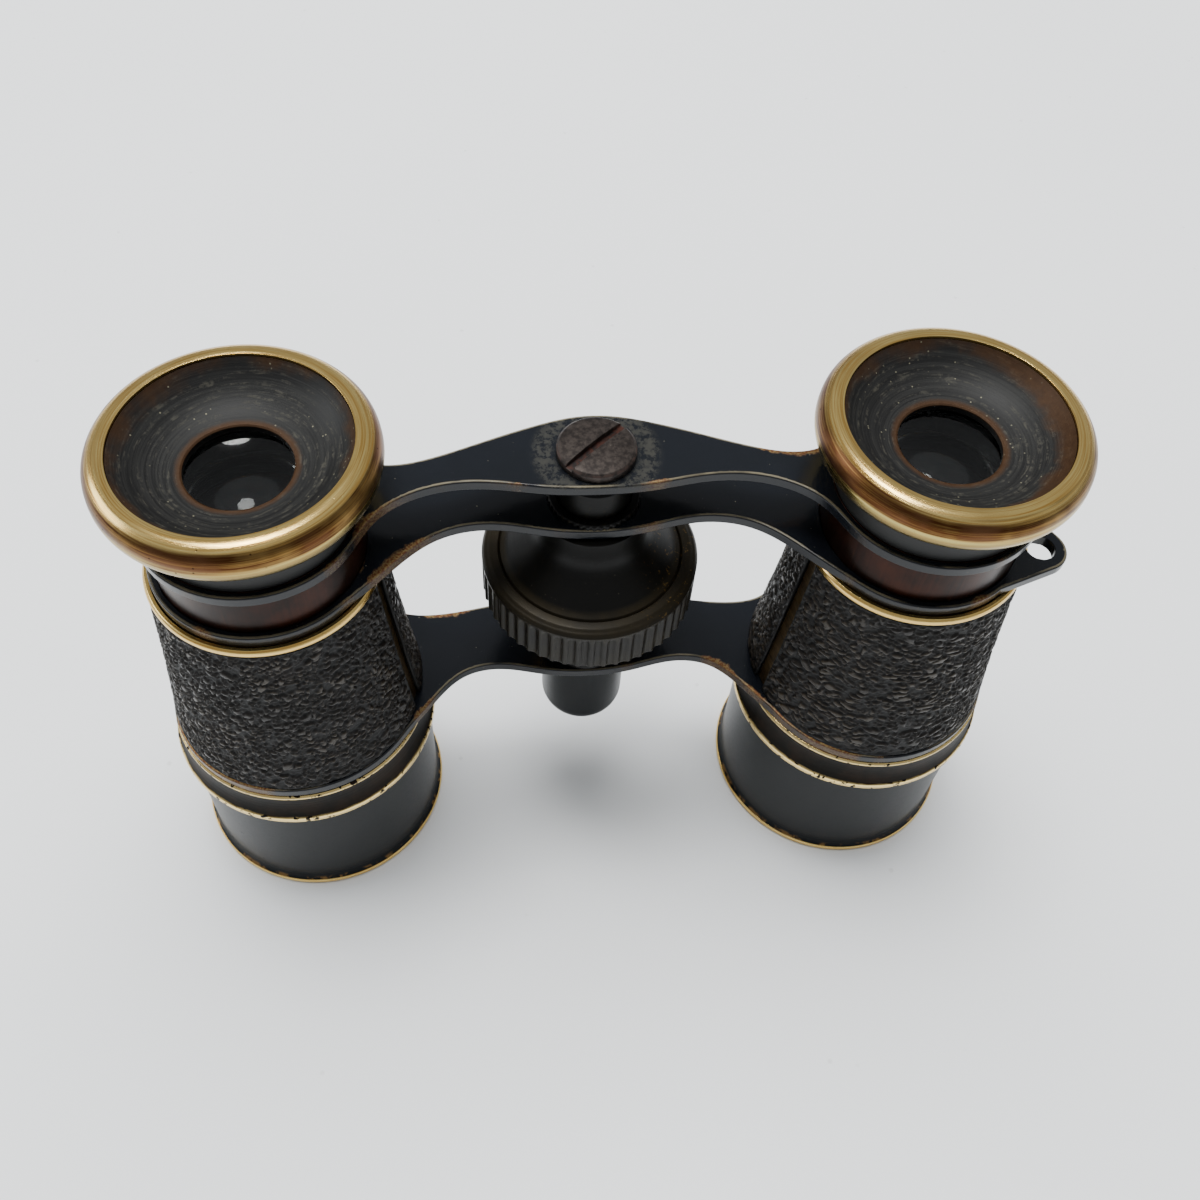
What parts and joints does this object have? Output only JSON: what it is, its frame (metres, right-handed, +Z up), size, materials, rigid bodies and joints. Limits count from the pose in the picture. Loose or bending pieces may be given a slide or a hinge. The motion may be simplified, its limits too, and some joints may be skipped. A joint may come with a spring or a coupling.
{
  "type": "opera glasses",
  "caption": "Antique Galilean opera glasses: leather-covered tapered barrels, bowed black bridges, brass-rimmed eyecups, central focus wheel, sliding sunshades.",
  "frame": {"origin": "on the table at the middle of the glasses' box, as they stand on their sunshades; the optical axes stand at x = +/-31 mm, y = -0.85 mm and the focus screw at x = 0, y = 3.85 mm", "axes": "+Z up, from the objectives to the eyecups; +X from the left barrel to the right barrel as seen from the near side; -Y the near side, +Y the side that the bridges bow to"},
  "size_m": [0.09, 0.0296, 0.0604],
  "materials": {
    "rim_brass": "polished brass, tarnished red-brown in bands",
    "tarnished_brass": "brass with worn brown-black lacquer, bright on its edges",
    "dark_brass": "brass tube, browned where bare",
    "bare_brass": "turned brass, unlacquered",
    "brown_lacquer": "worn brown-black lacquer",
    "black_japan": "glossy black japanning, worn to copper at edges",
    "shade_enamel": "satin grey-black enamel",
    "bowl_black": "satin black lacquer with turning marks",
    "inner_black": "matt optical black",
    "gear_bronze": "bronzed black-brown",
    "screw_steel": "oxidised brown-grey steel",
    "leather": "black pebbled leather",
    "lens_glass": "clear polished glass"
  },
  "bodies": {
    "frame": {"left_barrel": "dark_brass", "left_leather": "leather", "left_base_moulding": "tarnished_brass", "left_collar_ring": "rim_brass", "left_draw_bush": "bare_brass", "left_objective_cell": "inner_black", "left_objective_crown": "lens_glass", "left_objective_flint": "lens_glass", "left_objective_ring": "inner_black", "right_barrel": "dark_brass", "right_leather": "leather", "right_base_moulding": "tarnished_brass", "right_collar_ring": "rim_brass", "right_draw_bush": "bare_brass", "right_objective_cell": "inner_black", "right_objective_crown": "lens_glass", "right_objective_flint": "lens_glass", "right_objective_ring": "inner_black", "middle_bridge": "black_japan", "lower_bridge": "black_japan", "column_bush": "gear_bronze", "wheel_washer": "bare_brass", "wheel_pillar": "gear_bronze", "screw_cap": "shade_enamel"},
    "eyepieces": {"left_draw_tube": "brown_lacquer", "left_draw_stop": "bare_brass", "left_eyecup": "bowl_black", "left_eyecup_rim": "rim_brass", "left_eye_lens": "lens_glass", "left_eye_lens_ring": "inner_black", "right_draw_tube": "brown_lacquer", "right_draw_stop": "bare_brass", "right_eyecup": "bowl_black", "right_eyecup_rim": "rim_brass", "right_eye_lens": "lens_glass", "right_eye_lens_ring": "inner_black", "top_bridge": "black_japan", "focus_sleeve": "gear_bronze", "focus_screw": "screw_steel", "end_screw": "screw_steel", "bridge_screw": "screw_steel"},
    "wheel": {"focus_wheel": "gear_bronze", "focus_nut": "bare_brass"},
    "left_shade": {"left_sunshade": "shade_enamel", "left_sunshade_rim": "rim_brass"},
    "right_shade": {"right_sunshade": "shade_enamel", "right_sunshade_rim": "rim_brass"}
  },
  "joints": [
    {"name": "focus_turn", "type": "hinge", "parent": "frame", "child": "wheel", "pos_m": [0, 0.00385, 0.035], "axis": [0, 0, 1], "range_deg": [-155, 298]},
    {"name": "focus_slide", "type": "slide", "parent": "frame", "child": "eyepieces", "axis": [0, 0, 1], "range_m": [-0.00387, 0.00744]},
    {"name": "left_shade_slide", "type": "slide", "parent": "frame", "child": "left_shade", "axis": [0, 0, -1], "range_m": [0, 0.0105]},
    {"name": "right_shade_slide", "type": "slide", "parent": "frame", "child": "right_shade", "axis": [0, 0, -1], "range_m": [0, 0.0105]}
  ],
  "couplings": [
    {"joint": "focus_turn", "follows": "focus_slide", "rad_per_m": 698.13}
  ]
}
